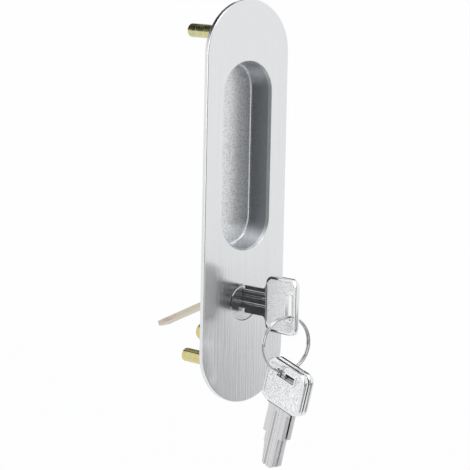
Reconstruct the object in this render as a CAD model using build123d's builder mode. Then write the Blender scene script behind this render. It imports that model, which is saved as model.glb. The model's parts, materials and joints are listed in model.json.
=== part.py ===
# Sliding patio door lock: an oval face plate with a finger cup, a pin tumbler
# cylinder worked by a key, a hinged tailpiece behind it, two threaded posts
# for the through screws, and a key ring with two spare keys.
#
# X runs to the right as seen from the room, Y into the door and Z up.
# The origin is the middle of the face plate's rear face, which seats on the door.
from build123d import *
import os
from math import cos, radians, sin, sqrt

os.makedirs("parts", exist_ok=True)

overrun = 1.0                  # how far any cut runs past the solid it opens

# Face plate
plate_width = 42.0
plate_height = 160.0
plate_thickness = 2.0
plate_edge_round = 0.5
opening_edge_round = 0.2        # where the plate turns into the finger cup

# Finger cup, pressed from sheet and fixed behind the plate
cup_width = 25.0
cup_height = 75.0
cup_centre_z = 18.5
cup_depth = 11.0               # from the plate's front face to the cup's floor
cup_wall = 1.2
cup_flange = 4.0               # how far the flange reaches round the mouth
cup_draft = 5.0                # degrees
cup_floor_round = 0.8

# Posts that take the through screws from the other side of the door
post_gap = 1.0                 # between a post's boss and the cup's flange
post_diameter = 5.5
post_end_y = 32.5
post_end_break = 0.5
post_thread_diameter = 3.3
post_thread_depth = 20.0
post_boss_diameter = 10.0
post_boss_height = 3.0
post_spigot_diameter = 4.4

# Cylinder body
cylinder_z = -40.0             # height of the plug's axis
barrel_diameter = 20.0
barrel_length = 8.6            # from the plate to the step that the retainer holds
nose_diameter = 17.0
nose_length = 2.0
rib_width = 6.4
rib_reach = 14.0               # from the plug's axis to the foot of the pin rib
plug_gap = 0.05                # running fit of the plug in its bore
body_edge_break = 0.3

# Cylinder plug
plug_head_diameter = 14.0
plug_head_gap = 0.1            # between the plug's head and the hole in the plate
plug_head_break = 0.35
plug_diameter = 13.0
plug_tail_length = 1.6         # how far the round body runs past the nose
groove_start = 0.08            # from the nose to the clip's groove
groove_width = 0.66
groove_diameter = 11.5

# Pins and their springs
pin_count = 4
pin_pitch = 2.1
first_pin_y = 1.4
pin_diameter = 1.7
pin_gap = 0.05
pin_point = 0.4
driver_length = 2.9
shear_gap = 0.1
spring_wire = 0.3
spring_turns = 4
cover_thickness = 0.6
cover_width = 5.0
cover_end_gap = 0.3            # from each end of the cover to the end of the rib

# Retaining clip of the plug
clip_thickness = 0.6
clip_diameter = 15.2
clip_opening = 5.0

# Hinged tailpiece
tail_pivot_stand = 2.1         # of the pivot behind the plug's round body
tail_droop = 23.5              # degrees below level, where it rests
tail_length = 37.2
tail_width = 6.0
tail_thickness = 1.8
tail_drop = 0.68               # of the bar's middle below the eye's
tail_eye_diameter = 3.8
tail_pin_diameter = 1.6
tail_pin_gap = 0.05
tail_corner = 1.5
ear_thickness = 1.5
ear_gap = 0.15

# Retainer that clamps the cylinder to the plate, and its two screws
retainer_thickness = 1.5
retainer_width = 22.8
retainer_top_z = -36.0
retainer_bottom_z = -56.9
retainer_corner = 1.2
retainer_gap = 0.1
screw_spacing = 19.2
screw_z = -52.4
screw_head_diameter = 7.0
screw_head_height = 2.4
screw_head_round = 1.6
screw_diameter = 3.5
screw_length = 7.5
screw_hole_gap = 0.2
screw_boss_diameter = 6.4
screw_slot_width = 0.8
screw_slot_length = 4.0
screw_slot_depth = 1.1

# Keys. Along a key, lengths run from the shoulder: the tip is ahead of it.
key_z = -38.0                  # height of the blade's middle in the plug
shoulder_stand = 1.7           # between the shoulder and the plate's face
blade_length = 13.2
blade_height = 7.6
blade_thickness = 2.0
neck_length = 12.0
neck_height = 11.0
neck_thickness = 2.0
neck_flare = 1.6               # radius where the neck runs out into the head
tang_length = 5.0
tang_height = 8.0
tang_thickness = 1.1            # the head's sunk field covers the tang on both sides
head_length = 17.8
head_height = 22.4
head_thickness = 2.3
head_corner = 3.4
head_edge_round = 0.35
rim_width = 1.3
field_depth = 0.3
slot_rim_width = 0.9
slot_width = 3.0
slot_length = 9.6
slot_corner = 0.7
slot_from_end = 4.4            # from the end of the head to the slot's middle
keyway_gap = 0.1
keyway_end_gap = 0.1
groove_depth = 0.5
blade_groove_width = 1.3
blade_groove_end = 1.8         # how far short of the head the grooves stop
front_groove_offset = -1.5     # of the middles of the two grooves across the blade
rear_groove_offset = 0.4
first_cut_depth = 0.6
cut_step = 0.3
cut_flat = 1.2
cut_lead = 0.6
tip_chamfer = 1.0

# Split ring
ring_diameter = 22.4           # outside
ring_wire = 0.9
ring_pitch = 1.1
ring_turns = 1.875
ring_yaw = -8.5               # degrees, seen from above
ring_side = -1.6               # of the ring's middle from the key, along its plane
ring_seat = 0.9                # from the slot's end to the middle of the two wires

# Spare keys, hung on the ring
spare_tilt = 16.0              # degrees, tip toward the plate
spare_pitch = 2.6              # between the two spare keys
spare_seat = 0.95              # from the slot's side to the middle of the two wires
spare_side = 3.2               # of the wires from the key's middle line


def behind(y):
    """Return the plane square to Y at y, looking out of the door's rear."""
    return Plane(origin=(0, y, 0), x_dir=(-1, 0, 0), z_dir=(0, 1, 0))


nose_y = barrel_length + nose_length
plug_back_y = nose_y + plug_tail_length
tail_pivot_y = plug_back_y + tail_pivot_stand
cover_length = nose_y - 2 * cover_end_gap
post_spacing = 2 * (cup_centre_z + cup_height / 2 + cup_flange + post_gap + post_boss_diameter / 2)
rib_foot_z = cylinder_z - rib_reach
plug_foot_z = cylinder_z - sqrt((plug_diameter / 2) ** 2 - (pin_diameter / 2) ** 2)
driver_top_z = cylinder_z - plug_diameter / 2 - shear_gap
cover_top_z = rib_foot_z + cover_thickness
shoulder_y = -plate_thickness - shoulder_stand
keyway_end_y = shoulder_y + blade_length + keyway_end_gap
head_end_s = -neck_length - head_length
head_mid_s = -neck_length - head_length / 2
slot_s = head_end_s + slot_from_end
pin_ys = [first_pin_y + i * pin_pitch for i in range(pin_count)]
cut_depths = [first_cut_depth + i * cut_step for i in range(pin_count)]

# Face plate, with the bosses behind it
with BuildPart() as face_plate:
    with BuildSketch(behind(-plate_thickness)):
        SlotOverall(plate_height, plate_width, rotation=90)
        with Locations((0, cup_centre_z)):
            SlotOverall(cup_height, cup_width, rotation=90, mode=Mode.SUBTRACT)
        with Locations((0, cylinder_z)):
            Circle(plug_head_diameter / 2 + plug_head_gap, mode=Mode.SUBTRACT)
    extrude(amount=plate_thickness)
    front = face_plate.faces().sort_by(Axis.Y)[0]
    cup_mouth = front.inner_wires().sort_by(SortBy.LENGTH)[-1]
    fillet(cup_mouth.edges(), opening_edge_round)
    fillet(face_plate.faces().sort_by(Axis.Y)[0].outer_wire().edges(), plate_edge_round)
    with BuildSketch(behind(0)):
        with Locations((0, post_spacing / 2), (0, -post_spacing / 2)):
            Circle(post_boss_diameter / 2)
    extrude(amount=post_boss_height)
    with BuildSketch(behind(0)):
        with Locations((0, post_spacing / 2), (0, -post_spacing / 2)):
            Circle(post_spigot_diameter / 2)
    extrude(amount=post_boss_height, mode=Mode.SUBTRACT)
    with BuildSketch(behind(0)):
        with Locations((screw_spacing / 2, screw_z), (-screw_spacing / 2, screw_z)):
            Circle(screw_boss_diameter / 2)
    extrude(amount=barrel_length)
    with BuildSketch(behind(barrel_length + retainer_thickness - screw_length)):
        with Locations((screw_spacing / 2, screw_z), (-screw_spacing / 2, screw_z)):
            Circle(screw_diameter / 2)
    extrude(amount=screw_length, mode=Mode.SUBTRACT)
face_plate.part.label = "face_plate"

# Finger cup
with BuildPart() as pull_cup:
    with BuildSketch(behind(0)):
        with Locations((0, cup_centre_z)):
            SlotOverall(cup_height + 2 * cup_wall, cup_width + 2 * cup_wall, rotation=90)
    extrude(amount=cup_depth - plate_thickness + cup_wall, taper=cup_draft)
    fillet(pull_cup.faces().sort_by(Axis.Y)[-1].edges(), cup_floor_round + cup_wall)
    with BuildSketch(behind(0)):
        with Locations((0, cup_centre_z)):
            SlotOverall(cup_height + 2 * cup_flange, cup_width + 2 * cup_flange, rotation=90)
    extrude(amount=cup_wall)
    with BuildSketch(behind(0)):
        with Locations((0, cup_centre_z)):
            SlotOverall(cup_height, cup_width, rotation=90)
    extrude(amount=cup_depth - plate_thickness, taper=cup_draft, mode=Mode.SUBTRACT)
    cup_floor = pull_cup.faces().filter_by(Axis.Y).sort_by(Axis.Y)[-2]
    fillet(cup_floor.edges(), cup_floor_round)
pull_cup.part.label = "pull_cup"


def make_post(z):
    """Return one threaded post, seated on its boss with a spigot inside it."""
    with BuildPart() as post:
        with BuildSketch(behind(post_boss_height)):
            with Locations((0, z)):
                Circle(post_diameter / 2)
        extrude(amount=post_end_y - post_boss_height)
        chamfer(post.faces().sort_by(Axis.Y)[-1].edges(), post_end_break)
        with BuildSketch(behind(0)):
            with Locations((0, z)):
                Circle(post_spigot_diameter / 2)
        extrude(amount=post_boss_height)
        with BuildSketch(behind(post_end_y - post_thread_depth)):
            with Locations((0, z)):
                Circle(post_thread_diameter / 2)
        extrude(amount=post_thread_depth, mode=Mode.SUBTRACT)
    return post.part


upper_post = make_post(post_spacing / 2)
upper_post.label = "upper_post"
lower_post = make_post(-post_spacing / 2)
lower_post.label = "lower_post"

# Cylinder body: a stepped barrel with a pin rib below it
with BuildPart() as cylinder_body:
    with BuildSketch(behind(0)):
        with Locations((0, cylinder_z)):
            Circle(barrel_diameter / 2)
    extrude(amount=barrel_length)
    with BuildSketch(behind(barrel_length)):
        with Locations((0, cylinder_z)):
            Circle(nose_diameter / 2)
    extrude(amount=nose_length)
    chamfer(cylinder_body.faces().sort_by(Axis.Y)[-1].edges(), body_edge_break)
    with BuildSketch(behind(0)):
        with Locations((0, (cylinder_z + rib_foot_z) / 2)):
            Rectangle(rib_width, rib_reach)
    extrude(amount=nose_y)
    with BuildSketch(behind(0)):
        with Locations((0, cylinder_z)):
            Circle(plug_diameter / 2 + plug_gap)
    extrude(amount=nose_y, mode=Mode.SUBTRACT)
    with BuildSketch(Plane.XY.offset(rib_foot_z)):
        with Locations([(0, y) for y in pin_ys]):
            Circle(pin_diameter / 2 + pin_gap)
    extrude(amount=rib_reach - plug_diameter / 4, mode=Mode.SUBTRACT)
    with BuildSketch(Plane.XY.offset(rib_foot_z)):
        with Locations((0, nose_y / 2)):
            Rectangle(cover_width, cover_length)
    extrude(amount=cover_thickness, mode=Mode.SUBTRACT)
cylinder_body.part.label = "cylinder_body"

# Cylinder plug: a head flush with the plate, a blind keyway and two ears behind
with BuildPart() as cylinder_plug:
    with BuildSketch(behind(-plate_thickness)):
        with Locations((0, cylinder_z)):
            Circle(plug_head_diameter / 2)
    extrude(amount=plate_thickness)
    chamfer(cylinder_plug.faces().sort_by(Axis.Y)[0].edges(), plug_head_break)
    with BuildSketch(behind(0)):
        with Locations((0, cylinder_z)):
            Circle(plug_diameter / 2)
    extrude(amount=plug_back_y)
    with BuildSketch(behind(nose_y + groove_start)):
        with Locations((0, cylinder_z)):
            Circle(plug_diameter / 2)
            Circle(groove_diameter / 2, mode=Mode.SUBTRACT)
    extrude(amount=groove_width, mode=Mode.SUBTRACT)
    for side in (-1, 1):
        ear_x = side * (tail_width / 2 + ear_gap + ear_thickness / 2)
        with BuildSketch(Plane.YZ.offset(ear_x)):
            with Locations((tail_pivot_y, cylinder_z)):
                Circle(tail_eye_diameter / 2)
            with Locations(((plug_back_y + tail_pivot_y) / 2, cylinder_z)):
                Rectangle(tail_pivot_y - plug_back_y, tail_eye_diameter)
        extrude(amount=ear_thickness / 2, both=True)
    with BuildSketch(Plane.YZ):
        with Locations((tail_pivot_y, cylinder_z)):
            Circle(tail_pin_diameter / 2)
    extrude(amount=plug_diameter / 2, both=True, mode=Mode.SUBTRACT)
    # the keyway, with a ward for each groove of the blade
    ward_width = blade_groove_width - 2 * keyway_gap
    ward_face = blade_thickness / 2 - groove_depth + keyway_gap
    ward_height = blade_thickness / 2 + keyway_gap - ward_face
    with BuildSketch(behind(-plate_thickness)):
        with Locations((0, key_z)):
            Rectangle(blade_thickness + 2 * keyway_gap, blade_height + 2 * keyway_gap)
        with Locations((ward_face + ward_height / 2, key_z - front_groove_offset)):
            Rectangle(ward_height, ward_width, mode=Mode.SUBTRACT)
        with Locations((-ward_face - ward_height / 2, key_z - rear_groove_offset)):
            Rectangle(ward_height, ward_width, mode=Mode.SUBTRACT)
    extrude(amount=keyway_end_y + plate_thickness, mode=Mode.SUBTRACT)
    with BuildSketch(Plane.XY.offset(cylinder_z - plug_diameter / 2)):
        with Locations([(0, y) for y in pin_ys]):
            Circle(pin_diameter / 2 + pin_gap)
    extrude(amount=plug_diameter / 2 + key_z - blade_height / 4 - cylinder_z, mode=Mode.SUBTRACT)
cylinder_plug.part.label = "cylinder_plug"


def make_key_pin(y, cut_depth):
    """Return the pin between the key's cut and the shear line."""
    top_z = key_z - blade_height / 2 + cut_depth - pin_gap
    with BuildPart() as pin:
        with BuildSketch(Plane.XY.offset(plug_foot_z)):
            with Locations((0, y)):
                Circle(pin_diameter / 2)
        extrude(amount=top_z - plug_foot_z)
        chamfer(pin.faces().sort_by(Axis.Z)[-1].edges(), pin_point)
    return pin.part


def make_driver_pin(y):
    """Return the pin below the shear line."""
    with BuildPart() as pin:
        with BuildSketch(Plane.XY.offset(driver_top_z)):
            with Locations((0, y)):
                Circle(pin_diameter / 2)
        extrude(amount=-driver_length)
        chamfer(pin.faces().sort_by(Axis.Z)[0].edges(), pin_point / 2)
    return pin.part


def make_pin_spring(y):
    """Return the coil spring between a driver pin and the cover."""
    room = driver_top_z - driver_length - cover_top_z
    rise = room - spring_wire - 2 * pin_gap
    coil_radius = pin_diameter / 2 - spring_wire / 2 - pin_gap
    path = Edge.make_helix(rise / spring_turns, rise, coil_radius,
                           center=(0, y, cover_top_z + spring_wire / 2 + pin_gap), normal=(0, 0, 1))
    with BuildPart() as spring:
        with BuildSketch(Plane(origin=path @ 0, z_dir=path % 0)):
            RegularPolygon(spring_wire / 2, 6)
        sweep(path=path, is_frenet=True)
    return spring.part


key_pins = []
driver_pins = []
pin_springs = []
for i in range(pin_count):
    key_pins.append(make_key_pin(pin_ys[i], cut_depths[i]))
    key_pins[i].label = f"key_pin_{i + 1}"
    driver_pins.append(make_driver_pin(pin_ys[i]))
    driver_pins[i].label = f"driver_pin_{i + 1}"
    pin_springs.append(make_pin_spring(pin_ys[i]))
    pin_springs[i].label = f"pin_spring_{i + 1}"

# Cover strip that shuts the pin chambers
with BuildPart() as spring_cover:
    with BuildSketch(Plane.XY.offset(rib_foot_z)):
        with Locations((0, nose_y / 2)):
            Rectangle(cover_width, cover_length)
    extrude(amount=cover_thickness)
spring_cover.part.label = "spring_cover"

# Spring clip in the plug's groove
with BuildPart() as plug_clip:
    with BuildSketch(behind(nose_y + groove_start)):
        with Locations((0, cylinder_z)):
            Circle(clip_diameter / 2)
            Circle(groove_diameter / 2, mode=Mode.SUBTRACT)
        with Locations((0, cylinder_z + clip_diameter / 2)):
            Rectangle(clip_opening, clip_diameter, mode=Mode.SUBTRACT)
    extrude(amount=clip_thickness)
plug_clip.part.label = "plug_clip"

# Pin that the tailpiece hangs on
with BuildPart() as tail_pin:
    with BuildSketch(Plane.YZ):
        with Locations((tail_pivot_y, cylinder_z)):
            Circle(tail_pin_diameter / 2)
    extrude(amount=tail_width / 2 + ear_gap + ear_thickness, both=True)
tail_pin.part.label = "tail_pin"

# Tailpiece: a flat bar with an eye at the plug's end and a blunt tip
tail_side = Plane(origin=(0, tail_pivot_y, cylinder_z),
                  x_dir=(0, cos(radians(tail_droop)), -sin(radians(tail_droop))), z_dir=(1, 0, 0))
with BuildPart() as tailpiece:
    with BuildSketch(tail_side):
        with Locations((tail_length / 2, -tail_drop)):
            Rectangle(tail_length, tail_thickness)
        Circle(tail_eye_diameter / 2)
        Circle(tail_pin_diameter / 2 + tail_pin_gap, mode=Mode.SUBTRACT)
    extrude(amount=tail_width / 2, both=True)
    tip_edges = tailpiece.faces().sort_by(Axis.Y)[-1].edges().filter_by(Axis.X, reverse=True)
    chamfer(tip_edges, tail_corner)
tailpiece.part.label = "tailpiece"

# Forked retainer behind the barrel's step
screw_places = [(screw_spacing / 2, screw_z), (-screw_spacing / 2, screw_z)]
with BuildPart() as cylinder_retainer:
    with BuildSketch(behind(barrel_length)):
        with Locations((0, (retainer_top_z + retainer_bottom_z) / 2)):
            RectangleRounded(retainer_width, retainer_top_z - retainer_bottom_z, retainer_corner)
        with Locations(screw_places):
            Circle(screw_head_diameter / 2)
        with Locations((0, cylinder_z)):
            Circle(nose_diameter / 2 + retainer_gap, mode=Mode.SUBTRACT)
        with Locations((0, (cylinder_z + rib_foot_z - retainer_gap) / 2)):
            Rectangle(rib_width + 2 * retainer_gap, rib_reach + retainer_gap, mode=Mode.SUBTRACT)
        with Locations(screw_places):
            Circle(screw_diameter / 2 + screw_hole_gap, mode=Mode.SUBTRACT)
    extrude(amount=retainer_thickness)
cylinder_retainer.part.label = "cylinder_retainer"


def make_screw(x):
    """Return one pan head screw with a cross recess."""
    seat_y = barrel_length + retainer_thickness
    with BuildPart() as screw:
        with BuildSketch(behind(seat_y)):
            with Locations((-x, screw_z)):
                Circle(screw_head_diameter / 2)
        extrude(amount=screw_head_height)
        fillet(screw.faces().sort_by(Axis.Y)[-1].edges(), screw_head_round)
        with BuildSketch(behind(seat_y + screw_head_height - screw_slot_depth)):
            with Locations((-x, screw_z)):
                Rectangle(screw_slot_length, screw_slot_width)
                Rectangle(screw_slot_width, screw_slot_length)
        extrude(amount=screw_head_height, mode=Mode.SUBTRACT)
        with BuildSketch(behind(seat_y - screw_length)):
            with Locations((-x, screw_z)):
                Circle(screw_diameter / 2)
        extrude(amount=screw_length)
    return screw.part


retainer_screw_left = make_screw(-screw_spacing / 2)
retainer_screw_left.label = "retainer_screw_left"
retainer_screw_right = make_screw(screw_spacing / 2)
retainer_screw_right.label = "retainer_screw_right"


def make_key_head(plane):
    """Return a key's head on the plane of the key's middle.

    The plane's origin is the shoulder, its x runs to the tip and its y to the cuts.
    """
    with BuildPart() as head:
        with BuildSketch(plane):
            with Locations((head_mid_s, 0)):
                RectangleRounded(head_length, head_height, head_corner)
            with Locations((slot_s, 0)):
                RectangleRounded(slot_width, slot_length, slot_corner, mode=Mode.SUBTRACT)
        extrude(amount=head_thickness / 2, both=True)
        faces = head.faces().sort_by(Axis(plane.origin, plane.z_dir))
        fillet(faces[0].outer_wire().edges() + faces[-1].outer_wire().edges(), head_edge_round)
        for side in (-1, 1):
            with BuildSketch(plane.offset(side * (head_thickness / 2 - field_depth))):
                with Locations((head_mid_s, 0)):
                    RectangleRounded(head_length - 2 * rim_width, head_height - 2 * rim_width,
                                     head_corner - rim_width)
                with Locations((slot_s, 0)):
                    RectangleRounded(slot_width + 2 * slot_rim_width, slot_length + 2 * slot_rim_width,
                                     slot_corner + slot_rim_width, mode=Mode.SUBTRACT)
            extrude(amount=side * field_depth, mode=Mode.SUBTRACT)
        with BuildSketch(plane):
            with Locations((-neck_length - tang_length / 2, 0)):
                Rectangle(tang_length, tang_height)
        extrude(amount=tang_thickness / 2, both=True, mode=Mode.SUBTRACT)
    return head.part


def make_key_blade(plane):
    """Return a key's blade, neck and tang on the plane of the key's middle."""
    half = blade_height / 2
    outline = [(0, -half), (0, half)]
    edge = half
    for y, depth in zip(pin_ys, cut_depths):
        s = y - shoulder_y
        if edge == half:
            outline.append((s - cut_flat / 2 - cut_lead, half))
        edge = half - depth
        outline.append((s - cut_flat / 2, edge))
        outline.append((s + cut_flat / 2, edge))
    outline.append((blade_length - tip_chamfer, edge))
    outline.append((blade_length, edge - tip_chamfer))
    outline.append((blade_length, tip_chamfer - half))
    outline.append((blade_length - tip_chamfer, -half))
    with BuildPart() as blade:
        with BuildSketch(plane):
            with Locations((-neck_length / 2, 0)):
                Rectangle(neck_length, neck_height)
            with Locations((neck_flare / 2 - neck_length, 0)):
                Rectangle(neck_flare, neck_height + 2 * neck_flare)
            with Locations((neck_flare - neck_length, neck_height / 2 + neck_flare),
                           (neck_flare - neck_length, -neck_height / 2 - neck_flare)):
                Circle(neck_flare, mode=Mode.SUBTRACT)
        extrude(amount=neck_thickness / 2, both=True)
        with BuildSketch(plane):
            with Locations((-neck_length - tang_length / 2, 0)):
                Rectangle(tang_length, tang_height)
        extrude(amount=tang_thickness / 2, both=True)
        with BuildSketch(plane):
            with BuildLine():
                Polyline(outline, close=True)
            make_face()
        extrude(amount=blade_thickness / 2, both=True)
        groove_length = neck_length - blade_groove_end + blade_length + overrun
        groove_middle = blade_groove_end - neck_length + groove_length / 2
        for side, offset in ((1, front_groove_offset), (-1, rear_groove_offset)):
            with BuildSketch(plane.offset(side * (blade_thickness / 2 - groove_depth))):
                with Locations((groove_middle, offset)):
                    Rectangle(groove_length, blade_groove_width)
            extrude(amount=side * neck_thickness, mode=Mode.SUBTRACT)
    return blade.part


# Key in the lock, on edge with its cuts down
lock_key_plane = Plane(origin=(0, shoulder_y, key_z), x_dir=(0, 1, 0), z_dir=(-1, 0, 0))
key_head = make_key_head(lock_key_plane)
key_head.label = "key_head"
key_blade = make_key_blade(lock_key_plane)
key_blade.label = "key_blade"

# Split ring, hung from the foot of the key's slot and turned a little
ring_radius = (ring_diameter - ring_wire) / 2
ring_along = Vector(cos(radians(ring_yaw)), sin(radians(ring_yaw)), 0)
ring_axis = Vector(-sin(radians(ring_yaw)), cos(radians(ring_yaw)), 0)
ring_hook = Vector(0, shoulder_y + slot_s, key_z - slot_length / 2 + ring_seat)
ring_drop = sqrt(ring_radius ** 2 - ring_side ** 2)
ring_centre = ring_hook + ring_along * ring_side - Vector(0, 0, ring_drop)
ring_rise = ring_turns * ring_pitch
ring_start = Plane(origin=ring_centre - ring_axis * (ring_rise / 2), x_dir=-ring_along, z_dir=ring_axis)
ring_path = ring_start.from_local_coords(Edge.make_helix(ring_pitch, ring_rise, ring_radius))
with BuildPart() as key_ring:
    with BuildSketch(Plane(origin=ring_path @ 0, z_dir=ring_path % 0)):
        Circle(ring_wire / 2)
    sweep(path=ring_path, is_frenet=True)
key_ring.part.label = "key_ring"

# Spare keys, hung by the plate's end of their slots
spare_tip = Vector(0, sin(radians(spare_tilt)), -cos(radians(spare_tilt)))
spare_across = Vector(0, cos(radians(spare_tilt)), sin(radians(spare_tilt)))
hang_s = slot_s - slot_width / 2 + spare_seat
spare_heads = []
spare_blades = []
for side in (-1, 1):
    along = side * spare_pitch / 2 / cos(radians(ring_yaw))
    lift = ring_radius - sqrt(ring_radius ** 2 - along ** 2)
    hook = ring_centre + ring_along * along - Vector(0, 0, ring_radius - lift)
    origin = hook - spare_tip * hang_s - spare_across * spare_side
    plane = Plane(origin=origin, x_dir=spare_tip, z_dir=(1, 0, 0))
    print("spare key hook", [round(v, 4) for v in hook])
    spare_heads.append(make_key_head(plane))
    spare_blades.append(make_key_blade(plane))
for i in range(2):
    spare_heads[i].label = f"spare_key_{i + 1}_head"
    spare_blades[i].label = f"spare_key_{i + 1}_blade"
print("ring hook", [round(v, 4) for v in ring_hook])
print("ring centre", [round(v, 4) for v in ring_centre])

pieces = [face_plate.part, pull_cup.part, upper_post, lower_post, cylinder_body.part, cylinder_plug.part]
pieces += key_pins + driver_pins + pin_springs
pieces += [spring_cover.part, plug_clip.part, tail_pin.part, tailpiece.part, cylinder_retainer.part]
pieces += [retainer_screw_left, retainer_screw_right, key_head, key_blade, key_ring.part]
pieces += spare_heads + spare_blades
for piece in pieces:
    export_step(piece, f"parts/{piece.label}.step")
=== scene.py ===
import bpy, bmesh, json, math
from mathutils import Matrix, Vector


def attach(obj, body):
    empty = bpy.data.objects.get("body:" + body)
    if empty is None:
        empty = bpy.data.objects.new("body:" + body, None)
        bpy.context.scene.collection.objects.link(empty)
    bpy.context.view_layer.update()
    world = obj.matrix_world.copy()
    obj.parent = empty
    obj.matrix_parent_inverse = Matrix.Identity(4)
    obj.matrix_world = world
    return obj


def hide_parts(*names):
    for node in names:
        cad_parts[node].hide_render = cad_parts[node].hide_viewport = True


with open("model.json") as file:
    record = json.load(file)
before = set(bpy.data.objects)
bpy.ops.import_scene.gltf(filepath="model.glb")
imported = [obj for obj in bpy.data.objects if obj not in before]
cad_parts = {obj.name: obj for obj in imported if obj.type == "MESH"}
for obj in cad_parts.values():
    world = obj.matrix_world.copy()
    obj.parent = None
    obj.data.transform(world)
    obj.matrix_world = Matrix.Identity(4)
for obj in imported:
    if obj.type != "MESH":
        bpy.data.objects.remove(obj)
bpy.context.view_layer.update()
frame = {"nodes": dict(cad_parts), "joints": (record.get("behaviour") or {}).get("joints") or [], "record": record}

mergeDist = 1e-6  # points nearer than this are one
sharpAngle = math.radians(35)  # edges sharper than this stay crisp


# Node helpers, shared by the materials

def newMaterial(name, metallic=1.0, colour=None):
    mat = bpy.data.materials.new(name)
    mat.use_nodes = True
    shader = mat.node_tree.nodes["Principled BSDF"]
    shader.inputs["Metallic"].default_value = metallic
    if colour:
        shader.inputs["Base Color"].default_value = (*colour, 1)
    return mat, mat.node_tree, shader


def objectSpace(tree, stretch=(1, 1, 1)):
    coord = tree.nodes.new("ShaderNodeTexCoord")
    mapping = tree.nodes.new("ShaderNodeMapping")
    mapping.inputs["Scale"].default_value = stretch
    tree.links.new(coord.outputs["Object"], mapping.inputs["Vector"])
    return mapping.outputs["Vector"]


def noise(tree, scale=1.0, stretch=(1, 1, 1), detail=2.0, rough=0.5):
    node = tree.nodes.new("ShaderNodeTexNoise")
    node.inputs["Scale"].default_value = scale
    node.inputs["Detail"].default_value = detail
    node.inputs["Roughness"].default_value = rough
    tree.links.new(objectSpace(tree, stretch), node.inputs["Vector"])
    return node.outputs["Fac"]


def spread(tree, value, made, given=(0.3, 0.7)):
    # turns the given range into the one to be made; most noise lies from 0.3 to 0.7
    span = tree.nodes.new("ShaderNodeMapRange")
    for socket, number in zip(("From Min", "From Max", "To Min", "To Max"), (*given, *made)):
        span.inputs[socket].default_value = number
    tree.links.new(value, span.inputs["Value"])
    return span.outputs["Result"]


def tint(tree, value, stops):
    ramp = tree.nodes.new("ShaderNodeValToRGB")
    while len(ramp.color_ramp.elements) < len(stops):
        ramp.color_ramp.elements.new(0.5)
    for element, (place, colour) in zip(ramp.color_ramp.elements, stops):
        element.position = place
        element.color = (*colour, 1)
    tree.links.new(value, ramp.inputs["Fac"])
    return ramp.outputs["Color"]


def blendColours(tree, mask, first, second):
    both = tree.nodes.new("ShaderNodeMixRGB")
    tree.links.new(mask, both.inputs["Fac"])
    tree.links.new(first, both.inputs["Color1"])
    tree.links.new(second, both.inputs["Color2"])
    return both.outputs["Color"]


def arithmetic(tree, kind, first, second=0.0):
    node = tree.nodes.new("ShaderNodeMath")
    node.operation = kind
    for place, value in enumerate((first, second)):
        if isinstance(value, (int, float)):
            node.inputs[place].default_value = value
        else:
            tree.links.new(value, node.inputs[place])
    return node.outputs["Value"]


def facingMask(tree, axis, turn):
    # 0 to 1 as the surface turns to face along the axis, either way
    coord = tree.nodes.new("ShaderNodeTexCoord")
    parts = tree.nodes.new("ShaderNodeSeparateXYZ")
    tree.links.new(coord.outputs["Normal"], parts.inputs["Vector"])
    return spread(tree, arithmetic(tree, "ABSOLUTE", parts.outputs[axis]), (0, 1), turn)


def bump(tree, shader, height, depth, strength=1.0):
    node = tree.nodes.new("ShaderNodeBump")
    node.inputs["Distance"].default_value = depth
    node.inputs["Strength"].default_value = strength
    tree.links.new(height, node.inputs["Height"])
    tree.links.new(node.outputs["Normal"], shader.inputs["Normal"])


# Finishes. Relief is the depth in metres, and for some the strength too

plateFinish = {
    "fine": {"stretch": (9000, 9000, 70), "detail": 3.0, "rough": 0.6},  # both run up and down
    "broad": {"stretch": (1500, 1500, 14), "detail": 3.0, "rough": 0.6},
    "tints": [(0.32, (0.755, 0.764, 0.777)), (0.68, (0.789, 0.797, 0.806))],
    "roughness": (0.16, 0.28), "relief": (0.00004, 1.0),
}


def brushedPlate():
    look = plateFinish
    mat, tree, shader = newMaterial("brushedPlate")
    fine, broad = noise(tree, **look["fine"]), noise(tree, **look["broad"])
    tree.links.new(tint(tree, broad, look["tints"]), shader.inputs["Base Color"])
    tree.links.new(spread(tree, fine, look["roughness"]), shader.inputs["Roughness"])
    bump(tree, shader, broad, *look["relief"])
    return mat


cupFinish = {
    "grain": {"scale": 1700, "detail": 1.0},
    "turn": (0.5, 0.9),  # only what faces the front or back is blasted, not the wall, which is also painted darker as painted shade
    # the wall's tints are painted shade: the same nickel as the floor, coloured darker as if shaded in the recess
    "wallShadeTints": [(0.35, (0.42, 0.44, 0.465)), (0.65, (0.47, 0.49, 0.515))],
    "floorTints": [(0.34, (0.72, 0.73, 0.745)), (0.60, (0.99, 0.992, 0.995))],
    "roughness": (0.19, 0.39), "relief": (0.00006, 0.8),
}


def blastedCup():
    look = cupFinish
    mat, tree, shader = newMaterial("blastedCup")
    grain = noise(tree, **look["grain"])
    blastedUnshaded = facingMask(tree, "Y", look["turn"])
    # painted shade: the wall's colour is darker than the floor's, though both are one metal
    wall, floor = tint(tree, grain, look["wallShadeTints"]), tint(tree, grain, look["floorTints"])
    tree.links.new(blendColours(tree, blastedUnshaded, wall, floor), shader.inputs["Base Color"])
    tree.links.new(spread(tree, blastedUnshaded, look["roughness"], (0, 1)), shader.inputs["Roughness"])
    bump(tree, shader, arithmetic(tree, "MULTIPLY", grain, blastedUnshaded), *look["relief"])
    return mat


postFinish = {
    "cloud": {"scale": 260, "detail": 3.0, "rough": 0.6},
    "speck": {"scale": 900, "stretch": (1, 0.5, 1), "detail": 3.0, "rough": 0.7},
    "tints": [(0.3, (0.66, 0.50, 0.22)), (0.5, (0.68, 0.62, 0.30)), (0.7, (0.52, 0.56, 0.32))],
    "roughness": (0.12, 0.34), "relief": (0.00006, 0.5),
}


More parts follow.
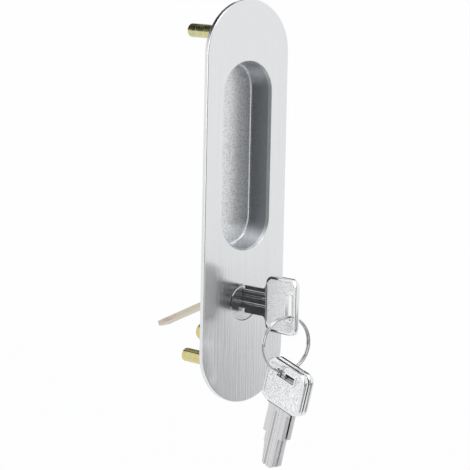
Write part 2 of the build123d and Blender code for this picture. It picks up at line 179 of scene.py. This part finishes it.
def yellowZinc():
    look = postFinish
    mat, tree, shader = newMaterial("yellowZinc")
    cloud, speck = noise(tree, **look["cloud"]), noise(tree, **look["speck"])
    tree.links.new(tint(tree, cloud, look["tints"]), shader.inputs["Base Color"])
    tree.links.new(spread(tree, speck, look["roughness"]), shader.inputs["Roughness"])
    bump(tree, shader, speck, *look["relief"])
    return mat


tailFinish = {
    "cloud": {"scale": 240, "stretch": (1, 0.3, 1)},
    "tints": [(0.34, (0.52, 0.42, 0.35)), (0.5, (0.60, 0.545, 0.43)), (0.64, (0.52, 0.53, 0.42))],
    "roughness": (0.24, 0.4),
}


def paleZinc():
    look = tailFinish
    mat, tree, shader = newMaterial("paleZinc")
    cloud = noise(tree, **look["cloud"])
    tree.links.new(tint(tree, cloud, look["tints"]), shader.inputs["Base Color"])
    tree.links.new(spread(tree, cloud, look["roughness"]), shader.inputs["Roughness"])
    return mat


cylinderFinish = {
    "grain": {"scale": 1800, "detail": 1.0},
    "tints": [(0.36, (0.62, 0.625, 0.635)), (0.64, (0.76, 0.765, 0.775))],
    "turn": (0.8, 0.95), "roughness": (0.10, 0.25),  # the end faces are dull, their edges bright
}


def nickelCylinder():
    look = cylinderFinish
    mat, tree, shader = newMaterial("nickelCylinder")
    grain = noise(tree, **look["grain"])
    face = facingMask(tree, "Y", look["turn"])
    tree.links.new(tint(tree, grain, look["tints"]), shader.inputs["Base Color"])
    tree.links.new(spread(tree, face, look["roughness"], (0, 1)), shader.inputs["Roughness"])
    return mat


pinFinish = {
    "colour": (0.80, 0.60, 0.28), "roughness": (0.22, 0.38),
    "turning": {"scale": 1500, "stretch": (1, 1, 8)},
}


def turnedBrass():
    look = pinFinish
    mat, tree, shader = newMaterial("turnedBrass", colour=look["colour"])
    turning = noise(tree, **look["turning"])
    tree.links.new(spread(tree, turning, look["roughness"]), shader.inputs["Roughness"])
    return mat


wireFinish = {
    "colour": (0.52, 0.525, 0.535), "roughness": (0.08, 0.2),
    "draw": {"scale": 1400},
}


def springSteel():
    look = wireFinish
    mat, tree, shader = newMaterial("springSteel", colour=look["colour"])
    draw = noise(tree, **look["draw"])
    tree.links.new(spread(tree, draw, look["roughness"]), shader.inputs["Roughness"])
    return mat


headFinish = {
    "grain": {"scale": 2500, "detail": 1.0},
    "fieldEnds": (0.00092, 0.00105),  # from the key's middle, the sunk field ends between these
    "turn": (0.70, 0.85),
    "rimTints": [(0.0, (0.79, 0.795, 0.80)), (1.0, (0.81, 0.815, 0.82))],
    "castTints": [(0.40, (0.60, 0.605, 0.615)), (0.56, (0.96, 0.963, 0.966))],
    "roughness": (0.07, 0.56), "relief": (0.00012, 0.7),
}


def keyHeadChrome(middle):
    # bright chrome on the rim and the edges, cast grain on the flat of the sunk field
    look = headFinish
    mat, tree, shader = newMaterial("keyHeadChrome")
    place = tree.nodes.new("ShaderNodeSeparateXYZ")
    tree.links.new(objectSpace(tree), place.inputs["Vector"])
    offset = arithmetic(tree, "SUBTRACT", place.outputs["X"], middle)
    sunk = spread(tree, arithmetic(tree, "ABSOLUTE", offset), (1, 0), look["fieldEnds"])
    field = arithmetic(tree, "MULTIPLY", sunk, facingMask(tree, "X", look["turn"]))
    grain = noise(tree, **look["grain"])
    rim, cast = tint(tree, grain, look["rimTints"]), tint(tree, grain, look["castTints"])
    tree.links.new(blendColours(tree, field, rim, cast), shader.inputs["Base Color"])
    tree.links.new(spread(tree, field, look["roughness"], (0, 1)), shader.inputs["Roughness"])
    bump(tree, shader, arithmetic(tree, "MULTIPLY", grain, field), *look["relief"])
    return mat


bladeFinish = {
    "colour": (0.66, 0.66, 0.67), "roughness": (0.09, 0.13),
    "mill": {"stretch": (1, 30, 500)},
    "ridges": (0.14, 0.36, 0.66), "ridgeWidth": 0.05,  # as shares of twice the reach
    "reach": 0.0048, "relief": 0.0002,
}


def keyBladeNickel(origin, across):
    # milled along the blade, with fine ridges that follow its length
    look = bladeFinish
    mat, tree, shader = newMaterial("keyBladeNickel", colour=look["colour"])
    height = tree.nodes.new("ShaderNodeVectorMath")
    height.operation = "DOT_PRODUCT"
    height.inputs[1].default_value = across
    tree.links.new(objectSpace(tree), height.inputs[0])
    middle, reach, wide = origin.dot(across), look["reach"], look["ridgeWidth"]
    share = spread(tree, height.outputs["Value"], (0, 1), (middle - reach, middle + reach))
    low, high = (0, 0, 0), (1, 1, 1)
    stops = [(0.0, low)]
    for ridge in look["ridges"]:
        stops += [(ridge - wide, low), (ridge - wide / 2, high)]
        stops += [(ridge + wide / 2, high), (ridge + wide, low)]
    profile = tint(tree, share, stops + [(1.0, low)])
    mill = noise(tree, **look["mill"])
    tree.links.new(spread(tree, mill, look["roughness"]), shader.inputs["Roughness"])
    bump(tree, shader, profile, look["relief"])
    return mat


finishes = {
    "plate_satin": brushedPlate(), "cup_satin": blastedCup(), "zinc_yellow": yellowZinc(),
    "cylinder_nickel": nickelCylinder(), "pin_brass": turnedBrass(), "spring_steel": springSteel(),
}
finished = 0
for part in frame["record"]["subparts"]:
    finish = finishes.get(part["material_slot"])  # none for the keys, which are replaced below
    if part["node"] == "tailpiece":
        finish = paleZinc()  # its plating is paler than the posts'
    if finish:
        for place in frame["nodes"][part["node"]].material_slots:
            place.material = finish
        finished += 1
print("finishes on", finished, "nodes")


# Keys

keyHead = {
    "length": 0.0178, "height": 0.0224, "thickness": 0.0023, "neckLength": 0.0120,
    "corner": 0.0034, "cornerSteps": 8, "edgeRound": 0.0007, "edgeSteps": 5,
    "smallRound": 0.0001, "smallSteps": 2, "rim": 0.0013, "fieldDepth": 0.0003,
    "slotWidth": 0.0031, "slotLength": 0.0101, "slotCorner": 0.0006, "slotRim": 0.0008,
    "slotFromEnd": 0.0044,
    "shoulder": (0, -0.0037, -0.038),  # of the key in the lock
    "hang": 0.0010, "aside": 0.0032, "tilt": 16.0,  # of the spares, on the ring and from plumb
}


def roundOff(bm, geom, size, steps, affect="EDGES", clamp=False):
    return bmesh.ops.bevel(bm, geom=geom, offset=size, affect=affect, segments=steps,
                           profile=0.5, material=-1, clamp_overlap=clamp)


def roundedLoop(bm, middle, width, height, corner, depth):
    made = bmesh.ops.create_grid(bm, x_segments=1, y_segments=1, size=0.5)["verts"]
    bmesh.ops.scale(bm, vec=(width, height, 1), verts=made)
    bmesh.ops.translate(bm, vec=(middle, 0, depth), verts=made)
    cut = roundOff(bm, made, corner, keyHead["cornerSteps"], "VERTICES")
    face = cut["verts"][0].link_faces[0]
    edges = list(face.edges)
    bmesh.ops.delete(bm, geom=[face], context="FACES_ONLY")
    return edges


def stepLoop(bm, edges, middle, inward, rise, size):
    # extrudes a loop, draws it in by the same distance all round and lifts it
    grown = bmesh.ops.extrude_edge_only(bm, edges=edges)["geom"]
    verts = [g for g in grown if isinstance(g, bmesh.types.BMVert)]
    shrink = [1 - 2 * inward / length for length in size]
    aboutMiddle = Matrix.Translation((-middle, 0, 0))
    bmesh.ops.scale(bm, vec=(*shrink, 1), space=aboutMiddle, verts=verts)
    bmesh.ops.translate(bm, vec=(0, 0, rise), verts=verts)
    grownEdges = [g for g in grown if isinstance(g, bmesh.types.BMEdge)]
    return [edge for edge in grownEdges if all(v in verts for v in edge.verts)]


def keyHeadMesh():
    # half of the head, loop by loop from its outside to the slot, then mirrored in its middle
    k = keyHead
    middle = -k["neckLength"] - k["length"] / 2
    slot = -k["neckLength"] - k["length"] + k["slotFromEnd"]
    top, field = k["thickness"] / 2, k["thickness"] / 2 - k["fieldDepth"]
    outside = (k["length"], k["height"])
    slotRim = [side + 2 * k["slotRim"] for side in (k["slotWidth"], k["slotLength"])]
    bm = bmesh.new()
    waist = roundedLoop(bm, middle, *outside, k["corner"], 0)
    edge = stepLoop(bm, waist, middle, 0, top, outside)
    rim = stepLoop(bm, edge, middle, k["rim"], 0, outside)
    sunk = stepLoop(bm, rim, middle, 0, field - top, outside)
    footCorner = k["slotCorner"] * slotRim[1] / k["slotLength"]
    foot = roundedLoop(bm, slot, *slotRim, footCorner, field)
    lip = stepLoop(bm, foot, slot, 0, top - field, slotRim)
    mouth = stepLoop(bm, lip, slot, k["slotRim"], 0, slotRim)
    stepLoop(bm, mouth, slot, 0, -top, slotRim)
    bmesh.ops.bridge_loops(bm, edges=sunk + foot)
    roundOff(bm, edge, k["edgeRound"], k["edgeSteps"])
    small = [e for loop in (rim, sunk, foot, lip, mouth) for e in loop]
    roundOff(bm, small, k["smallRound"], k["smallSteps"])
    half = bm.verts[:] + bm.edges[:] + bm.faces[:]
    bmesh.ops.mirror(bm, geom=half, axis="Z", merge_dist=mergeDist)
    bmesh.ops.remove_doubles(bm, verts=bm.verts, dist=mergeDist)
    bmesh.ops.recalc_face_normals(bm, faces=bm.faces)
    return bm


def addPiece(name, bm, mat, node):
    mesh = bpy.data.meshes.new(name)
    bm.to_mesh(mesh)
    bm.free()
    mesh.shade_smooth()
    mesh.set_sharp_from_angle(angle=sharpAngle)
    mesh.materials.append(mat)
    piece = bpy.data.objects.new(name, mesh)
    bpy.context.collection.objects.link(piece)
    piece.modifiers.new("flatFaces", "WEIGHTED_NORMAL").keep_sharp = True
    bodies, subparts = frame["record"]["behaviour"]["bodies"], frame["record"]["subparts"]
    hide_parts(node)
    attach(piece, next(body for body, nodes in bodies.items() if node in nodes))


def keyPlace(origin, along, across):
    # a head is built with x to the key's tip, y to its cuts and z through its thickness
    turn = Matrix((along, across, along.cross(across))).transposed().to_4x4()
    return Matrix.Translation(origin) @ turn


def castHeads():
    k = keyHead
    lockKey = keyPlace(Vector(k["shoulder"]), Vector((0, 1, 0)), Vector((0, 0, -1)))
    places = {"key_head": lockKey}
    lean, drop = math.sin(math.radians(k["tilt"])), math.cos(math.radians(k["tilt"]))
    tip, across = Vector((0, lean, -drop)), Vector((0, drop, lean))
    # where the ring's wire lies in the slot, measured from the shoulder
    hook = -k["neckLength"] - k["length"] + k["slotFromEnd"] - k["slotWidth"] / 2 + k["hang"]
    for number in (1, 2):
        joint = next(j for j in frame["joints"] if j["name"] == f"spare_key_{number}_swing")
        origin = Vector(joint["pos_m"]) - tip * hook - across * k["aside"]
        places[f"spare_key_{number}_head"] = keyPlace(origin, tip, across)
    for node, place in places.items():
        bm = keyHeadMesh()
        bmesh.ops.transform(bm, matrix=place, verts=bm.verts)
        addPiece(node + "_cast", bm, keyHeadChrome(place.translation.x), node)
    print("key heads cast:", len(places))
    return places


keyBlade = {"edgeRound": 0.00013, "edgeSteps": 2, "flatAngle": 1.0}


def softenedBlade(node, mat):
    # a welded copy of the CAD blade, its sharp edges broken as tumbling breaks them
    bm = bmesh.new()
    bm.from_mesh(frame["nodes"][node].data)
    bmesh.ops.remove_doubles(bm, verts=bm.verts, dist=mergeDist)
    flat = math.radians(keyBlade["flatAngle"])
    bmesh.ops.dissolve_limit(bm, angle_limit=flat, verts=bm.verts, edges=bm.edges)
    sharp = [e for e in bm.edges if e.is_manifold and e.calc_face_angle(0) > sharpAngle]
    roundOff(bm, sharp, keyBlade["edgeRound"], keyBlade["edgeSteps"], clamp=True)
    addPiece(node + "_soft", bm, mat, node)


for node, place in castHeads().items():
    across = place.to_3x3().col[1]
    softenedBlade(node.replace("head", "blade"), keyBladeNickel(place.translation, across))
print("key blades softened")


# Stage, lamps and camera

stage = {
    "floorZ": -0.6, "floorSize": 120.0, "pale": (0.95, 0.95, 0.95), "paintRoughness": 0.9,
    "floorGlow": 0.92,  # the rest keeps the object's shadow
    "worldTone": (0.93, 0.95, 0.97), "worldStrength": 0.95,
}
# boards that the metal mirrors and the camera doesn't see, all turned to the object
flags = {
    "frontFlag": {"place": (-1.02, -0.86, 0.05), "width": 1.08, "height": 1.3, "shade": 0.021},
    "lowFlag": {"place": (-0.30, -0.72, -0.56), "width": 0.7, "height": 0.45, "shade": 0.021},
    "backFlag": {"place": (0.12, 0.85, 0.62), "width": 0.9, "height": 0.5, "shade": 0.021},
    "behindFlag": {"place": (0.74, 0.86, 0.08), "width": 0.5, "height": 0.6, "shade": 0.021},
    "cornerFlag": {"place": (0.75, 0.62, 0.56), "width": 0.45, "height": 0.36, "shade": 0.021},
    "greyFlag": {"place": (0.122, -0.312, -0.232), "width": 0.30, "height": 0.30, "shade": 0.38},
    "postFlag": {"place": (-0.066, 0.120, 0.125), "width": 0.07, "height": 0.15, "shade": 0.021},
}
lamps = {
    "topBox": {"place": (-0.5, -0.3, 1.4), "width": 0.7, "height": 0.7, "power": 6},
    "sideBox": {"place": (-1.3, 0.2, 0.3), "width": 0.5, "height": 0.8, "power": 4},
}
view = {
    "yaw": -41.6503, "rise": 7.9644, "roll": 1.1977, "away": 1.05279,
    "aim": (-0.003567, 0.0, -0.012813), "lens": 204.26, "sensor": 36, "clip": (0.05, 200),
}


def backgroundRays(tree):
    # 1 for rays from the camera and for those that leave metal or glass
    path = tree.nodes.new("ShaderNodeLightPath")
    seen = path.outputs["Is Camera Ray"]
    for kind in ("Is Glossy Ray", "Is Transmission Ray"):
        seen = arithmetic(tree, "MAXIMUM", seen, path.outputs[kind])
    return seen


def mixOnto(output, share, first, second):
    tree = output.id_data
    mixed = tree.nodes.new("ShaderNodeMixShader")
    tree.links.new(share, mixed.inputs["Fac"])
    tree.links.new(first, mixed.inputs[1])
    tree.links.new(second, mixed.inputs[2])
    tree.links.new(mixed.outputs["Shader"], output.inputs["Surface"])


def makeBoard(name, width, height, turn, place, colour):
    bm = bmesh.new()
    bmesh.ops.create_grid(bm, x_segments=1, y_segments=1, size=0.5)
    bmesh.ops.scale(bm, vec=(width, height, 1), verts=bm.verts)
    put = Matrix.Translation(place) @ turn.to_4x4()
    bmesh.ops.transform(bm, matrix=put, verts=bm.verts)
    mesh = bpy.data.meshes.new(name)
    bm.to_mesh(mesh)
    bm.free()
    board = bpy.data.objects.new(name, mesh)
    bpy.context.collection.objects.link(board)
    mat, tree, shader = newMaterial(name + "Paint", 0.0, colour)
    shader.inputs["Roughness"].default_value = stage["paintRoughness"]
    mesh.materials.append(mat)
    return tree, shader.outputs["BSDF"]


def makeFloor():
    size, place = stage["floorSize"], (0, 0, stage["floorZ"])
    tree, paint = makeBoard("floor", size, size, Matrix.Identity(3), place, stage["pale"])
    glow = tree.nodes.new("ShaderNodeEmission").outputs["Emission"]
    share = arithmetic(tree, "MULTIPLY", backgroundRays(tree), stage["floorGlow"])
    mixOnto(tree.nodes["Material Output"], share, paint, glow)


def makeFlags():
    for name, flag in flags.items():
        place, shade = flag["place"], (flag["shade"],) * 3
        facing = (-Vector(place)).to_track_quat("Z", "Y").to_matrix()
        tree, paint = makeBoard(name, flag["width"], flag["height"], facing, place, shade)
        clear = tree.nodes.new("ShaderNodeBsdfTransparent").outputs["BSDF"]
        seen = tree.nodes.new("ShaderNodeLightPath").outputs["Is Camera Ray"]
        mixOnto(tree.nodes["Material Output"], seen, paint, clear)


def makeWorld():
    world = bpy.data.worlds.new("studio")
    bpy.context.scene.world = world
    world.use_nodes = True
    tree = world.node_tree
    soft = tree.nodes["Background"]
    soft.inputs["Strength"].default_value = stage["worldStrength"]
    soft.inputs["Color"].default_value = (*stage["worldTone"], 1)
    white = tree.nodes.new("ShaderNodeBackground")
    white.inputs["Color"].default_value = (1, 1, 1, 1)
    mixOnto(tree.nodes["World Output"], backgroundRays(tree),
            soft.outputs["Background"], white.outputs["Background"])


def makeLamps():
    for name, box in lamps.items():
        lamp = bpy.data.lights.new(name, "AREA")
        lamp.shape = "RECTANGLE"
        lamp.size, lamp.size_y, lamp.energy = box["width"], box["height"], box["power"]
        holder = bpy.data.objects.new(name, lamp)
        holder.location = box["place"]
        holder.rotation_euler = (-Vector(box["place"])).to_track_quat("-Z", "Y").to_euler()
        bpy.context.collection.objects.link(holder)


def makeCamera():
    yaw, rise, roll = (math.radians(view[k]) for k in ("yaw", "rise", "roll"))
    level = math.cos(rise)
    back = Vector((math.sin(yaw) * level, -math.cos(yaw) * level, math.sin(rise)))
    side = Vector((math.cos(yaw), math.sin(yaw), 0))
    over = back.cross(side)
    right = side * math.cos(roll) + over * math.sin(roll)
    up = over * math.cos(roll) - side * math.sin(roll)
    data = bpy.data.cameras.new("camera")
    data.lens, data.sensor_width, data.sensor_fit = view["lens"], view["sensor"], "HORIZONTAL"
    data.clip_start, data.clip_end = view["clip"]
    camera = bpy.data.objects.new("camera", data)
    turn = Matrix((right, up, back)).transposed().to_4x4()
    stand = Vector(view["aim"]) + back * view["away"]
    camera.matrix_world = Matrix.Translation(stand) @ turn
    bpy.context.collection.objects.link(camera)
    bpy.context.scene.camera = camera


makeFloor()
makeFlags()
makeWorld()
makeLamps()
makeCamera()
bpy.context.scene.view_settings.view_transform = "Standard"
print("stage ready")
